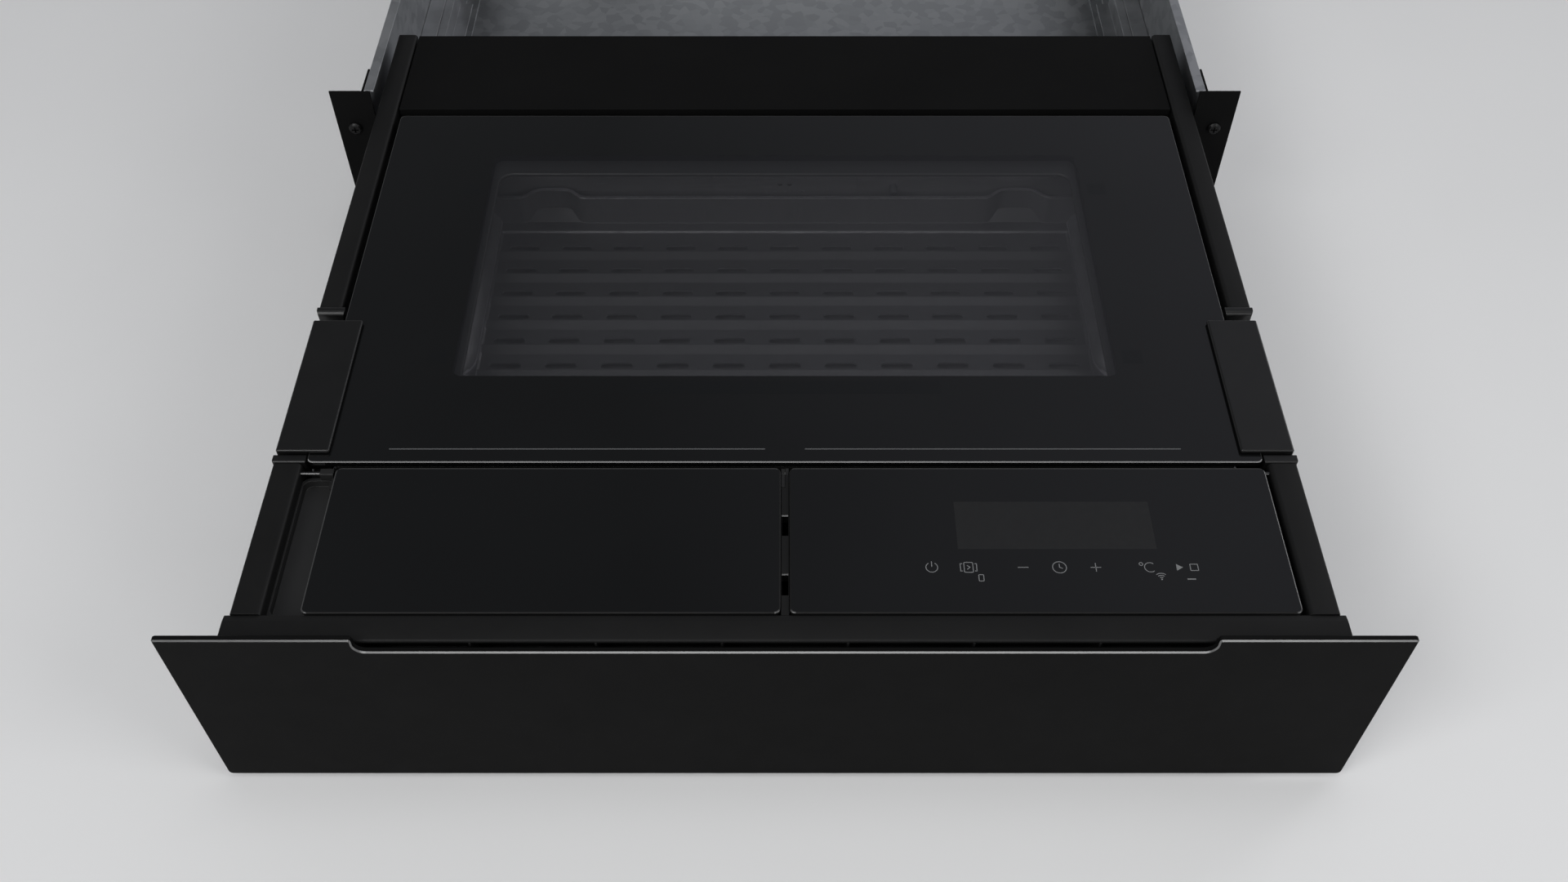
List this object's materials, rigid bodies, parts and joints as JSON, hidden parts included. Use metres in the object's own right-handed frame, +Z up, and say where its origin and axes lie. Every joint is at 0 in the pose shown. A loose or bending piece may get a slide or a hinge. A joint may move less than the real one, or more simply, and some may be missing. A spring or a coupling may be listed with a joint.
{
  "type": "built-in warming drawer",
  "caption": "Built-in heated drawer on full-extension runners, with a hinged glass lid over a perforated tray, touch controls and a flap over a storage tub.",
  "frame": {"origin": "middle of the housing's underside, on the floor of the niche", "axes": "+X to the right as seen from the front, +Y back into the niche, +Z up"},
  "size_m": [0.595, 0.9542, 0.137],
  "materials": {
    "black_enamel": "satin",
    "black_moulding": "matte",
    "grey_moulding": "matte",
    "galvanised_sheet": "satin",
    "stainless_sheet": "satin",
    "zinc_steel": "satin",
    "black_glass": "gloss",
    "lid_glass": "gloss",
    "silicone": "matte",
    "mineral_wool": "matte",
    "circuit_board": "satin"
  },
  "bodies": {
    "housing": {"housing_base": "galvanised_sheet", "housing_side_left": "galvanised_sheet", "housing_side_right": "galvanised_sheet", "housing_rear": "galvanised_sheet", "front_flange_left": "black_enamel", "front_flange_right": "black_enamel", "mounting_screw_low_left": "zinc_steel", "mounting_screw_low_right": "zinc_steel", "mounting_screw_high_left": "zinc_steel", "mounting_screw_high_right": "zinc_steel", "terminal_box": "grey_moulding", "mains_inlet": "black_moulding", "runner_outer_left": "zinc_steel", "runner_outer_right": "zinc_steel"},
    "runner_left": {"runner_middle_left": "zinc_steel"},
    "runner_right": {"runner_middle_right": "zinc_steel"},
    "drawer": {"front_panel": "black_enamel", "rear_cover": "black_enamel", "front_bar": "black_moulding", "front_rail_left": "black_moulding", "front_rail_right": "black_moulding", "front_rail_cap_left": "black_moulding", "front_rail_cap_right": "black_moulding", "rear_rail_left": "black_moulding", "rear_rail_right": "black_moulding", "rear_rail_cap_left": "black_moulding", "rear_rail_cap_right": "black_moulding", "divider_frame": "black_moulding", "control_housing": "black_moulding", "storage_tub": "black_moulding", "fan_motor": "grey_moulding", "drawer_pan": "galvanised_sheet", "drawer_side_left": "galvanised_sheet", "drawer_side_right": "galvanised_sheet", "drawer_rear_wall": "galvanised_sheet", "fan_housing": "galvanised_sheet", "cavity_tub": "stainless_sheet", "perforated_tray": "stainless_sheet", "temperature_probe": "stainless_sheet", "runner_inner_left": "zinc_steel", "runner_inner_right": "zinc_steel", "flap_pin_left": "zinc_steel", "flap_pin_centre": "zinc_steel", "lid_hinge_bracket_left": "zinc_steel", "lid_hinge_bracket_right": "zinc_steel", "ring_heater": "zinc_steel", "control_glass": "black_glass", "display_module": "black_glass", "floor_heater": "silicone", "insulation_pad": "mineral_wool", "control_board": "circuit_board"},
    "lid": {"lid_glass": "lid_glass", "lid_frame": "black_moulding", "lid_inner_pane": "lid_glass", "lid_seal": "silicone", "lid_grip_left": "black_moulding", "lid_grip_right": "black_moulding"},
    "flap": {"flap_glass": "black_glass", "flap_frame": "black_moulding"},
    "fan": {"fan_wheel": "zinc_steel"}
  },
  "joints": [
    {"name": "drawer_slide", "type": "slide", "parent": "housing", "child": "drawer", "axis": [0, 1, 0], "range_m": [0, 0.4]},
    {"name": "runner_left_slide", "type": "slide", "parent": "housing", "child": "runner_left", "axis": [0, 1, 0], "range_m": [0, 0.2]},
    {"name": "runner_right_slide", "type": "slide", "parent": "housing", "child": "runner_right", "axis": [0, 1, 0], "range_m": [0, 0.2]},
    {"name": "lid_hinge", "type": "hinge", "parent": "drawer", "child": "lid", "pos_m": [0, -0.278, 0.1175], "axis": [-1, 0, 0], "range_deg": [0, 45]},
    {"name": "flap_hinge", "type": "hinge", "parent": "drawer", "child": "flap", "pos_m": [-0.118, -0.5748, 0.12415], "axis": [-1, 0, 0], "range_deg": [0, 75]},
    {"name": "fan_spin", "type": "hinge", "parent": "drawer", "child": "fan", "pos_m": [0, -0.284, 0.071], "axis": [0, 1, 0], "continuous": true}
  ],
  "couplings": [
    {"joint": "runner_left_slide", "follows": "drawer_slide", "ratio": 0.5},
    {"joint": "runner_right_slide", "follows": "drawer_slide", "ratio": 0.5}
  ]
}
